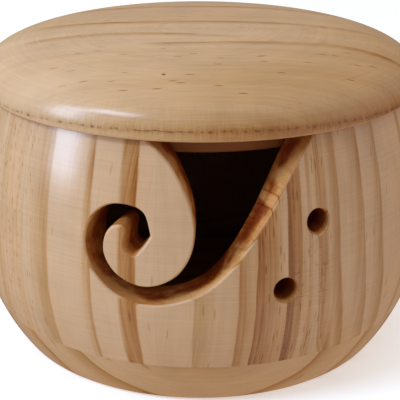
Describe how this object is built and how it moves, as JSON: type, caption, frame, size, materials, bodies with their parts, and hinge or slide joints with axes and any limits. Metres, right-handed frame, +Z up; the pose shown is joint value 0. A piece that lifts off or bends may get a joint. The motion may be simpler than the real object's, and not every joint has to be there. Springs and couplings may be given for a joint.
{
  "type": "yarn bowl",
  "caption": "Round turned wooden yarn bowl with a curled yarn slot open at the rim, two needle holes and a domed lift-off lid.",
  "frame": {"origin": "centre of the flat underside that the bowl stands on", "axes": "+Z up, the lid's lift direction; -Y is the front, with the yarn slot; +X is the side of the two needle holes"},
  "size_m": [0.16, 0.16, 0.108],
  "materials": {
    "stave_pine": "flat-sawn pine under a clear gloss lacquer, grain upright",
    "base_pine": "pine under a clear gloss lacquer, grain level",
    "lid_pine": "pine under a clear gloss lacquer, grain level, yellower than the bowl"
  },
  "bodies": {
    "bowl": {"base_disc": "base_pine", "front_stave": "stave_pine", "front_stave_tongue": "stave_pine", "right_stave": "stave_pine", "rear_right_stave": "stave_pine", "rear_stave": "stave_pine", "rear_left_stave": "stave_pine", "left_stave": "stave_pine"},
    "lid": {"lid": "lid_pine"}
  },
  "joints": [
    {"name": "lid_lift", "type": "slide", "parent": "bowl", "child": "lid", "axis": [0, 0, 1], "range_m": [0, 0.1]}
  ]
}
